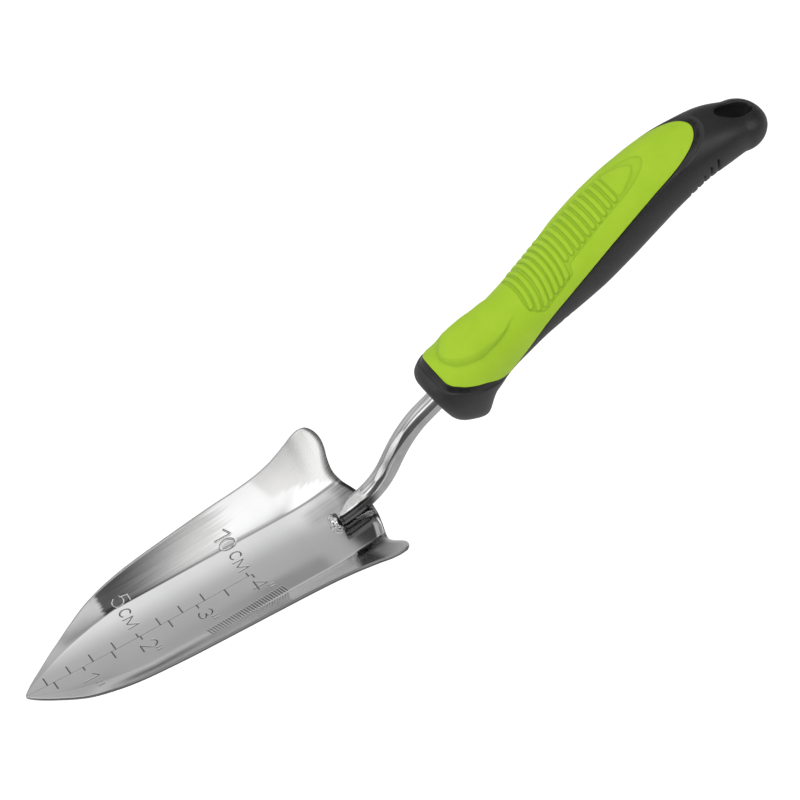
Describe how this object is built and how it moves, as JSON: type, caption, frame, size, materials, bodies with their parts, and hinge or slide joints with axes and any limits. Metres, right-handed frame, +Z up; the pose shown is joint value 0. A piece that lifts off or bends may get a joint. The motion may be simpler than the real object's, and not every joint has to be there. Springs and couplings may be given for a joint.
{
  "type": "hand trowel",
  "caption": "Pointed garden hand trowel: dished stainless blade with flared heel ears and a depth scale, welded S-bent round tang, two-colour moulded grip with hanging slot.",
  "frame": {"origin": "middle of the bottom of the bounding box, below the S-bend of the neck, just behind the heel of the blade", "axes": "+X from the blade's tip towards the handle, +Y to the left of someone looking along +X, +Z up out of the blade's hollow side; the XZ plane is the plane of symmetry"},
  "size_m": [0.3526, 0.0806, 0.1164],
  "materials": {
    "blade_steel": "pressed stainless sheet, polished floor and fine diagonal brushing on the side walls",
    "tang_steel": "bright polished stainless rod",
    "weld_metal": "dressed weld bead",
    "core_plastic": "fine satin spark texture",
    "grip_rubber": "matt lime green thermoplastic rubber"
  },
  "bodies": {
    "root": {"blade": "blade_steel", "neck": "tang_steel", "weld_front": "weld_metal", "weld_left": "weld_metal", "weld_right": "weld_metal", "handle_core": "core_plastic", "soft_grip": "grip_rubber"}
  },
  "joints": []
}
